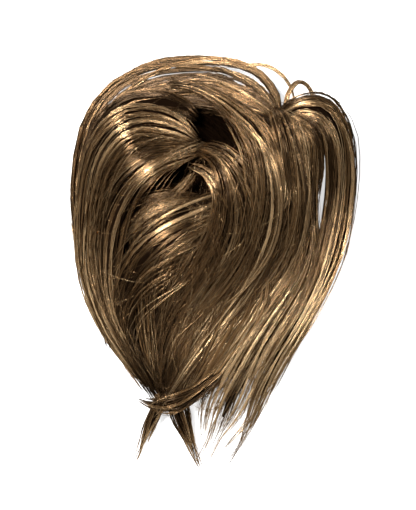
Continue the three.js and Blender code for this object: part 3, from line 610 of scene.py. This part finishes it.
def cross_over(one, other, fibres, lengths, rng):
    """Fibres that wander over the top from one lock to its neighbour."""
    start = rng.uniform(0.04, 0.3, fibres)
    end = rng.uniform(0.6, 0.99, fibres)
    share = start[:, None] + (end - start)[:, None] * steps_along(lengths)[None]
    each = np.arange(fibres)
    halfway = rng.uniform(0.25, 0.75, (fibres, 1))
    weight = 1 / (1 + np.exp(-(share - halfway) * 7))
    weight = np.where(rng.uniform(0, 1, (fibres, 1)) < 0.5, weight, 1 - weight)
    ends = []
    for rows in (one, other):
        whole = lock_frame(rows, share)
        u = rng.uniform(-0.5, 0.5, (fibres, 1)) + wander(rng, each, share, 0.6, 0.08)
        v = rng.uniform(0.75, 1.05, (fibres, 1)) * np.sqrt(1 - np.clip(np.abs(u), 0, 0.9) ** 2)
        ends.append((placed(whole, u, v), *whole[1:3]))
    mix = weight[..., None]
    paths, left, up = (a * (1 - mix) + b * mix for a, b in zip(*ends))
    tone = np.clip(0.38 + 0.2 * rng.normal(0, 1, (fibres, 1)), 0.05, 1)
    tone = np.broadcast_to(tone, share.shape)
    return paths, unit(left), unit(up), fibre_radii(rng, fibres, lengths) * 0.9, tone, share


class Surface:
    """How high the hair stands over the table, on a grid, from the fibres laid so far."""

    CELL = 2.5 * MM
    LOW = np.array([-0.6 * HAIR_WIDTH, -0.8 * HAIR_LENGTH])
    SIZE = np.array([1.25 * HAIR_WIDTH, 1.2 * HAIR_LENGTH])

    def __init__(self):
        self.height = np.zeros((self.SIZE / self.CELL).astype(int))

    def lay(self, paths):
        cell = ((paths[..., :2] - self.LOW) / self.CELL).astype(int).reshape(-1, 2)
        cell = np.clip(cell, 0, np.array(self.height.shape) - 1)
        np.maximum.at(self.height, (cell[:, 0], cell[:, 1]), paths[..., 2].ravel() - TABLE_Z)

    def smooth(self, passes):
        for _ in range(passes):
            near = np.pad(self.height, 1, mode="edge")
            sides = [near[1 + i : near.shape[0] - 1 + i, 1 + j : near.shape[1] - 1 + j]
                     for i in (-1, 0, 1) for j in (-1, 0, 1)]
            self.height = np.maximum(np.mean(sides, axis=0), 0.9 * self.height)

    def at(self, xy):
        place = (xy - self.LOW) / self.CELL - 0.5
        place = np.clip(place, 0, np.array(self.height.shape) - 1.001)
        cell = place.astype(int)
        part = place - cell
        x, y, fx, fy = cell[..., 0], cell[..., 1], part[..., 0], part[..., 1]
        near = self.height[x, y] * (1 - fx) + self.height[x + 1, y] * fx
        far = self.height[x, y + 1] * (1 - fx) + self.height[x + 1, y + 1] * fx
        return near * (1 - fy) + far * fy


def loose_hairs(row, surface, rng):
    """Single hairs that stray over the surface of the rest, and none where it is lower than LEAST_UNDER."""
    at = dict(zip(LOOSE_COLUMNS, row))
    hairs, lengths = at["hairs"], LOOSE_LENGTHS
    start = np.array([at["across"] * HAIR_WIDTH, at["along"] * HAIR_LENGTH])
    start = start + rng.normal(0, at["apart"] * HAIR_WIDTH, (hairs, 2))
    heading = np.radians(at["heading"] + at["turn"] * rng.uniform(-0.5, 0.5, (hairs, 1)))
    length = at["length"] * rng.uniform(0.5, 1.4, (hairs, 1))
    along = np.linspace(0, 1, lengths + 1)[None]
    angle = heading + (rng.normal(0, 0.8, (hairs, 1)) * along + rng.normal(0, 0.5, (hairs, 1)) * along**2)
    step = length / lengths
    x = start[:, :1] + np.cumsum(np.cos(angle) * step, axis=1)
    y = start[:, 1:] + np.cumsum(np.sin(angle) * step, axis=1)
    lift = rng.uniform(0.3, 2.2, (hairs, 1)) * MM * (0.3 + np.sin(np.pi * along))
    z = TABLE_Z + surface.at(np.stack([x, y], -1)) + lift
    paths = np.stack([x, y, np.maximum(z, TABLE_Z + LEAST_LOOSE_HEIGHT)], -1)
    over = surface.at(paths[..., :2]).min(axis=1) > LEAST_UNDER
    along = np.repeat(along, hairs, axis=0)
    paths, angle, along, hairs = paths[over], angle[over], along[over], int(over.sum())
    left = np.stack([-np.sin(angle), np.cos(angle), np.zeros_like(angle)], -1)
    up = np.broadcast_to([0.0, 0.0, 1.0], left.shape)
    taper = np.interp(along, [0, 0.1, 0.7, 1], [0.5, 1, 1, 0.3])
    radii = FIBRE_RADIUS * rng.uniform(0.42, 0.64, (hairs, 1)) * taper
    tone = np.clip(0.42 + 0.18 * rng.normal(0, 1, (hairs, 1)), 0.2, 1)
    return paths, left, up, radii, np.broadcast_to(tone, along.shape), along


def strands(name, parts, material):
    """One piece from the fibres of several fills."""
    points, quads, triangles, tints, uvs = [], [], [], [], []
    base = 0
    for paths, left, up, radii, tone, share in parts:
        corners, four, three = tubes(paths, left, up, radii)
        points.append(corners)
        quads.append(four + base)
        triangles.append(three + base)
        base += len(corners)
        tints.append(np.repeat(tint_of(tone).reshape(-1, 3), 3, axis=0))
        # Each fibre has its own narrow stretch of the map, a little of it on each side.
        own = RNG.uniform(0, 1, (len(paths), 1, 1))
        v = np.repeat(share[:, :, None], 3, axis=2)
        u = np.broadcast_to(own + np.array([0, 0.002, 0.004]), v.shape)
        uvs.append(np.stack([u, v], -1).reshape(-1, 2))
    joined = [np.concatenate(each) for each in (points, quads, triangles, tints, uvs)]
    return add_object(name, mesh_of(name, *joined), material)


def closed_rings(name, rings, around, along, turned_over=False):
    """A dark closed form through rings of points, with a flat cap at both ends, near-black as painted shade.
    """
    count, sides = rings.shape[:2]
    index = np.arange(count * sides).reshape(count, sides)
    turned = np.roll(index, -1, axis=1)
    quads = np.stack([index[:-1], index[1:], turned[1:], turned[:-1]], -1).reshape(-1, 4)
    first, last = (
        np.stack([np.repeat(ring[0], sides - 2), ring[1:-1], ring[2:]], -1) for ring in index[[0, -1]]
    )
    triangles = np.concatenate([first, last[:, ::-1]])
    if turned_over:
        quads, triangles = quads[:, [0, 3, 2, 1]], triangles[:, [0, 2, 1]]
    uv = np.stack(np.broadcast_arrays(around[None], along[:, None]), -1).reshape(-1, 2)
    return add_object(name, mesh_of(name, rings.reshape(-1, 3), quads, triangles, None, uv), DEEP_SHADE)


def colour_ramp(tree, value, low, high, places=(0, 1)):
    ramp = node(tree, "ShaderNodeValToRGB", {"Fac": value})
    for element, place, colour in zip(ramp.color_ramp.elements, places, (low, high)):
        element.position = place
        element.color = (*colour, 1)
    return ramp.outputs["Color"]


def dress(tree, shader, colour, roughness, height=None, strength=0.0, depth=0.0):
    """Links a colour, and a bump if a height is given, to the material's shader."""
    tree.links.new(colour, shader.inputs["Base Color"])
    shader.inputs["Roughness"].default_value = roughness
    if height is not None:
        bump = node(tree, "ShaderNodeBump", {"Height": height, "Strength": strength, "Distance": depth})
        tree.links.new(bump.outputs["Normal"], shader.inputs["Normal"])


def fibre_noise(tree, scale, detail):
    """Noise that is drawn out along the fibres."""
    uv = node(tree, "ShaderNodeUVMap", uv_map="fibre")
    stretch = node(tree, "ShaderNodeMapping", {"Vector": uv.outputs["UV"], "Scale": scale})
    inputs = {"Vector": stretch.outputs["Vector"], "Scale": 1.0, "Detail": detail}
    return node(tree, "ShaderNodeTexNoise", inputs).outputs["Fac"]


def fibre_material(name, metallic, specular, roughness):
    """Synthetic fibre: each fibre has its own brown, a little uneven along its length, with painted light
    and shade mixed into that brown.
    """
    material, tree, shader = new_material(name)
    tint = node(tree, "ShaderNodeVertexColor", layer_name="tint")
    uneven = fibre_noise(tree, (900, 14, 1), 2.0)
    value = node(tree, "ShaderNodeMapRange", {"Value": uneven, "To Min": 0.75, "To Max": 1.25})
    mixed = node(
        tree, "ShaderNodeVectorMath",
        {0: tint.outputs["Color"], "Scale": value.outputs["Result"]}, operation="SCALE",
    )
    tree.links.new(mixed.outputs[0], shader.inputs["Base Color"])
    rough_range = {"Value": uneven, "To Min": roughness - 0.05, "To Max": roughness + 0.06}
    gloss = node(tree, "ShaderNodeMapRange", rough_range)
    tree.links.new(gloss.outputs["Result"], shader.inputs["Roughness"])
    shader.inputs["Metallic"].default_value = metallic
    shader.inputs["Specular IOR Level"].default_value = specular
    shader.inputs["Specular Tint"].default_value = (1.0, 0.88, 0.72, 1)
    return material


def core_material():
    """Hair deep in a lock: near-black as painted shade, with fine lines along it."""
    material, tree, shader = new_material("deep_hair_shade")
    lines = fibre_noise(tree, (70, 3, 1), 4.0)
    colour = colour_ramp(tree, lines, (0.002, 0.001, 0.0006), (0.006, 0.003, 0.0014), (0.3, 0.75))
    dress(tree, shader, colour, 0.8, lines, 0.6, 0.6 * MM)
    shader.inputs["Specular IOR Level"].default_value = 0.0
    return material


FIBRE = fibre_material("fibre", 0.75, 0.5, 0.26)
# A shaded copy of the fibre for the hair under the locks: matte and without highlights, as painted shade.
SHADED_FIBRE = fibre_material("shaded_fibre", 0.0, 0.05, 0.7)
# Near-black painted shade for the insides of the locks, the dark mass and the floor of the whorl.
DEEP_SHADE = core_material()


# The core of a lock: its sides, its steps for each row, how deep its ridges are, and where it starts and
# ends.
CORE_SIDES = 24
CORE_STEPS = 4
CORE_RIDGE = 0.1
CORE_START = 0.015
CORE_END = 0.93


def core(name, rows, width):
    """The dark inside of a lock, near-black as painted shade: a ridged closed form that leaves no holes
    between the fibres.

    It narrows towards its ends, and stops short of the lock's ragged tip."""
    share = np.linspace(CORE_START, CORE_END, CORE_STEPS * (len(rows) - 1) + 1)
    whole = lock_frame(rows, share)
    side = np.arange(CORE_SIDES)
    angle = side * 2 * np.pi / CORE_SIDES
    ridge = 1 - CORE_RIDGE * (side % 2)
    ends = np.interp(share, [0, 0.06, 0.6, 0.8, CORE_END], [0.35, 1, 1, 0.4, 0.05])[:, None]
    around = [part[:, None] for part in whole]
    rings = placed(around, width * ends * np.cos(angle) * ridge, width * ends * np.sin(angle) * ridge)
    rings[..., 2] = np.maximum(rings[..., 2], TABLE_Z + CORE_CLEARANCE)
    return closed_rings(name, rings, np.linspace(0, 1, CORE_SIDES), share)


def ride(piece, slot_name, *nodes):
    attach(piece, "root")
    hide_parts(*nodes)


SURFACE = Surface()
for lock_name, rows in LOCKS.items():
    fill = dict(zip(FILL_COLUMNS, FILLS[lock_name]))
    if lock_name == "crown_sweep_outer":
        parts = [
            fill_lock(beside(rows, *place), dict(fill, tone=tone), RNG) for *place, tone in CROWN_STRANDS
        ]
    else:
        parts = [fill_lock(rows, fill, RNG)]
    for part in parts:
        SURFACE.lay(part[0])
    ride(strands(lock_name + "_fibres", parts, FIBRE), "hair", lock_name)
    if fill["core"]:
        ride(core(lock_name + "_core", rows, fill["core"]), "under_hair", lock_name)

accents = []
for rows, fibres, tone in ACCENTS:
    accents.append(fill_lock(rows, dict(ACCENT_FILL, fibres=fibres, tone=tone), RNG))
    SURFACE.lay(accents[-1][0])
SURFACE.smooth(passes=2)
ride(strands("accent_strands", accents, FIBRE), "hair")
crossings = [cross_over(LOCKS[one], LOCKS[other], *rest, RNG) for one, other, *rest in CROSSINGS]
ride(strands("wandering_fibres", crossings, FIBRE), "hair")
ride(strands("loose_hairs", [loose_hairs(row, SURFACE, RNG) for row in LOOSE], FIBRE), "hair")


# How the hair under the locks is filled, with the same columns as the locks: strips over the dark mass, a
# flat layer on the table, the rim, and the floor of the open whorl, all given low tones as painted shade.
# Then the sizes of the strips and the layer, as shares like those in a row, and how far the layer stays
# clear of the base.
UNDER_FILLS = {
    "strip": [60, 6, 11, 1.4, 0.08, 1.0, 0.1, 0.04, 0, 0.9, 0],
    "flat": [130, 14, 8, 1.2, 0.08, 1.0, 0.16, 0.06, 0, 1.0, 0],
    "rim": [200, 24, 16, 1.0, 0.06, 0.6, 0.16, 0.04, 0, 1.0, 0],
    "floor": [160, 20, 9, 1.4, 0.06, 0.6, 0.0, 0.1, 0, 1.0, 0],
}
STRIPS = 8
STRIP_HEIGHT = 0.34
STRIP_WIDTH = 1.3
FLAT_STRIPS = 9
FLAT_HEIGHT = 0.022
FLAT_THICKNESS = 0.1
FLAT_START = 0.06
BASE_GAP = 2 * MM

# Hair round the rim, from the crown down each side.
UNDER_RIMS = [
    [[0.15, 0.13, 0.16, 0.8, 0.6], [0.0, 0.158, 0.18, 1.1, 0.8], [-0.17, 0.142, 0.18, 1.2, 0.9],
     [-0.3, 0.09, 0.17, 1.2, 0.9], [-0.37, 0.02, 0.16, 1.2, 0.9], [-0.395, -0.08, 0.15, 1.1, 0.9],
     [-0.375, -0.21, 0.14, 1.0, 0.8], [-0.315, -0.35, 0.13, 0.9, 0.7], [-0.22, -0.48, 0.12, 0.6, 0.6]],
    [[0.0, 0.15, 0.16, 0.8, 0.6], [0.13, 0.14, 0.18, 1.1, 0.8], [0.23, 0.112, 0.18, 1.2, 0.9],
     [0.3, 0.06, 0.18, 1.1, 0.9], [0.33, -0.03, 0.17, 0.9, 0.8], [0.335, -0.12, 0.15, 0.9, 0.8],
     [0.35, -0.2, 0.14, 0.9, 0.8], [0.325, -0.3, 0.13, 0.9, 0.7], [0.24, -0.39, 0.12, 0.8, 0.6]],
]

# Hair on the floor of the open whorl, drawn near-black as painted shade.
UNDER_FLOOR = [
    [-0.08, 0.15, 0.26, 1.2, 0.3], [0.0, 0.11, 0.22, 1.7, 0.3], [0.08, 0.06, 0.22, 1.7, 0.3],
    [0.14, -0.01, 0.24, 1.2, 0.3],
]


def fan(side):
    """Places in a fan from the base down to the tips, for sides from -1 on the left to 1 on the right."""
    return [
        [side * 0.33 - 0.01, -0.22], [side * 0.31, -0.34], [side * 0.22 - 0.04, -0.45],
        [side * 0.1 - 0.08, -0.55],
    ]


def strip_rows(side):
    """Rows of a strip that runs over the dark mass, lower towards the sides and the tips."""
    up = STRIP_HEIGHT * (1 - 0.35 * side**2)
    places = [[side * 0.31 - 0.02, -0.1]] + fan(side)
    heights, widths = [1, 1, 0.9, 0.8, 0.7], [1, 1, 1, 0.8, 0.5]
    thicknesses = [0.9, 0.9, 0.85, 0.75, 0.6]
    return [
        [*place, up * height, STRIP_WIDTH * wide, thick]
        for place, height, wide, thick in zip(places, heights, widths, thicknesses)
    ]


def flat_rows(side):
    """Rows of a flat layer of hair that starts at the rim of the base and lies on the table."""
    x = side * 0.31
    beside_base = 1 - (x * HAIR_WIDTH / (BASE_WIDTH / 2)) ** 2
    start = FLAT_START
    if beside_base >= 0:
        start = -(BASE_DEPTH / 2 * math.sqrt(beside_base) + BASE_GAP) / HAIR_LENGTH
    places = [[x, start]] + fan(side)
    widths = [1.2, 1.3, 1.3, 1.0, 0.7]
    return [[*place, FLAT_HEIGHT, wide, FLAT_THICKNESS] for place, wide in zip(places, widths)]


def under_fill(kind, rows):
    return fill_lock(rows, dict(zip(FILL_COLUMNS, UNDER_FILLS[kind])), RNG)


under_parts = [under_fill("strip", strip_rows(side)) for side in np.linspace(-0.8, 0.8, STRIPS)]
under_parts += [under_fill("flat", flat_rows(side)) for side in np.linspace(-1, 1, FLAT_STRIPS)]
under_parts += [under_fill("rim", rows) for rows in UNDER_RIMS]
ride(strands("under_hair_fibres", under_parts, SHADED_FIBRE), "under_hair", "under_hair")
ride(strands("whorl_floor_fibres", [under_fill("floor", UNDER_FLOOR)], DEEP_SHADE), "under_hair", "under_hair")

# The dark mass: its outline on the table, clockwise from the crown, and the swells and dips of its top. Each
# has its place across and along, how far it reaches, as a share of HAIR_WIDTH, and how high it rises, as a
# share of MASS_HEIGHT. Within BASE_SHARE of the way to the outline, its underside clears the base.
UNDER_OUTLINE = [
    [0.0, 0.175], [0.13, 0.155], [0.24, 0.125], [0.33, 0.07], [0.37, -0.03], [0.372, -0.12],
    [0.385, -0.21], [0.34, -0.31], [0.25, -0.4], [0.13, -0.48], [0.0, -0.54], [-0.14, -0.58],
    [-0.22, -0.5], [-0.32, -0.36], [-0.38, -0.21], [-0.4, -0.08], [-0.38, 0.03], [-0.31, 0.1],
    [-0.17, 0.155],
]
MASS_SWELLS = [
    [0.04, 0.1, 0.1, -0.7],
    [-0.1, -0.04, 0.1, -0.65],
    [-0.13, -0.22, 0.15, -0.35],
    [0.2, -0.06, 0.16, 0.4],
    [-0.2, 0.05, 0.13, 0.3],
]
MASS_HEIGHT = 15 * MM
MASS_EDGE = 4 * MM
MASS_UNDERSIDE = 2 * MM
MASS_OVER_BASE = 1 * MM
BASE_SHARE = 0.6
MASS_CENTRE = np.array([-0.01 * HAIR_WIDTH, -0.1 * HAIR_LENGTH])
MASS_SHARES = np.array([0.05, 0.2, 0.35, 0.5, 0.65, 0.8, 0.9, 0.97])
MASS_SIDES = 96


def mass_top(xy, share):
    """How high the top of the dark mass lies over the table, at a share of the way to its outline."""
    tail = np.interp(-xy[:, 1] / HAIR_LENGTH, [-0.3, 0.15, 0.3, 0.45, 0.6], [1, 1, 0.75, 0.45, 0.3])
    height = MASS_HEIGHT * tail * (1 - share**2) ** 0.5
    for across, along, reach, rise in MASS_SWELLS:
        away = xy - [across * HAIR_WIDTH, along * HAIR_LENGTH]
        height = height + rise * MASS_HEIGHT * np.exp(-np.sum(away**2, axis=1) / (reach * HAIR_WIDTH) ** 2)
    return MASS_EDGE + np.maximum(height, 0)


def under_core():
    """The dark mass that closes the space between the locks and the table, open over the base; its
    near-black is painted shade.
    """
    closed = UNDER_OUTLINE[-1:] + UNDER_OUTLINE + UNDER_OUTLINE[:2]
    at = 1 + np.linspace(0, len(UNDER_OUTLINE), MASS_SIDES + 1)[:-1]
    rim = spline(closed, at) * [HAIR_WIDTH, HAIR_LENGTH]
    flat = [MASS_CENTRE + (rim - MASS_CENTRE) * share for share in MASS_SHARES]
    rings = [np.column_stack([xy, TABLE_Z + mass_top(xy, share)]) for xy, share in zip(flat, MASS_SHARES)]
    for xy, share in zip(flat[::-1], MASS_SHARES[::-1]):
        floor = TABLE_Z + MASS_UNDERSIDE if share > BASE_SHARE else BASE_THICKNESS + MASS_OVER_BASE
        rings.append(np.column_stack([xy, np.full(len(xy), floor)]))
    around, along = np.linspace(0, 3, MASS_SIDES), np.linspace(0, 1, len(rings))
    return closed_rings("under_hair_core", np.stack(rings), around, along, turned_over=True)


ride(under_core(), "under_hair", "under_hair")


# The net base and the comb.
NET_THREADS = {"Scale": 130.0, "Distortion": 0.4}


def net_material():
    material, tree, shader = new_material("net")
    where = node(tree, "ShaderNodeTexCoord")
    slant = {"Vector": where.outputs["Object"], "Rotation": (0, 0, math.radians(45))}
    threads = dict(NET_THREADS, Vector=node(tree, "ShaderNodeMapping", slant).outputs["Vector"])
    one = node(tree, "ShaderNodeTexWave", threads)
    other = node(tree, "ShaderNodeTexWave", threads, bands_direction="Y")
    waves = {0: one.outputs["Fac"], 1: other.outputs["Fac"]}
    net = node(tree, "ShaderNodeMath", waves, operation="MAXIMUM").outputs["Value"]
    colour = colour_ramp(tree, net, (0.004, 0.003, 0.002), (0.045, 0.03, 0.02))
    dress(tree, shader, colour, 0.8, net, 0.8, 0.4 * MM)
    return material


def comb_material():
    material, tree, shader = new_material("comb_plastic")
    where = node(tree, "ShaderNodeTexCoord")
    inputs = {"Vector": where.outputs["Object"], "Scale": 60.0, "Detail": 3.0}
    cloud = node(tree, "ShaderNodeTexNoise", inputs)
    colour = colour_ramp(tree, cloud.outputs["Fac"], (0.02, 0.01, 0.005), (0.075, 0.04, 0.02))
    dress(tree, shader, colour, 0.22)
    return material


for node_name, made in (("base", net_material()), ("comb", comb_material())):
    carried = bpy.data.objects[node_name]
    for place in carried.material_slots:
        place.material = made


# Floor, world and lights.
FLOOR_HALF = 3.0
floor_mesh = bpy.data.meshes.new("floor")
floor_corners = [(x * FLOOR_HALF, y * FLOOR_HALF, TABLE_Z) for x, y in ((-1, -1), (1, -1), (1, 1), (-1, 1))]
floor_mesh.from_pydata(floor_corners, [], [(0, 1, 2, 3)])
floor_material, _, floor_shader = new_material("floor")
floor_shader.inputs["Base Color"].default_value = (0.62, 0.62, 0.62, 1)
floor_shader.inputs["Roughness"].default_value = 0.9
floor_shader.inputs["Specular IOR Level"].default_value = 0.1
floor_shader.inputs["Emission Color"].default_value = (1, 1, 1, 1)
floor_shader.inputs["Emission Strength"].default_value = 0.68
floor = add_object("floor", floor_mesh, floor_material)

world = bpy.data.worlds.new("studio")
world.use_nodes = True
background = world.node_tree.nodes["Background"]
background.inputs["Color"].default_value = (1, 1, 1, 1)
background.inputs["Strength"].default_value = 0.03
bpy.context.scene.world = world

# Each light: its place, its size and its power. All of them point at LIGHT_AIM.
LIGHT_AIM = Vector((0.0, -0.08, 0.0))
LIGHTS = {
    "key": [(-0.57, 0.35, 1.76), 0.4, 86],
    "low": [(-1.07, 0.73, 1.34), 0.4, 30],
    "side": [(1.3, -0.36, 1.45), 0.45, 26],
}
for light_name, (place, size, power) in LIGHTS.items():
    light = bpy.data.lights.new(light_name, "AREA")
    light.shape = "DISK"
    light.size = size
    light.energy = power
    lamp = bpy.data.objects.new(light_name, light)
    lamp.location = place
    lamp.rotation_mode = "QUATERNION"
    lamp.rotation_quaternion = (LIGHT_AIM - Vector(place)).to_track_quat("-Z", "Y")
    bpy.context.scene.collection.objects.link(lamp)

bpy.context.scene.view_settings.view_transform = "Standard"
bpy.context.scene.view_settings.look = "None"
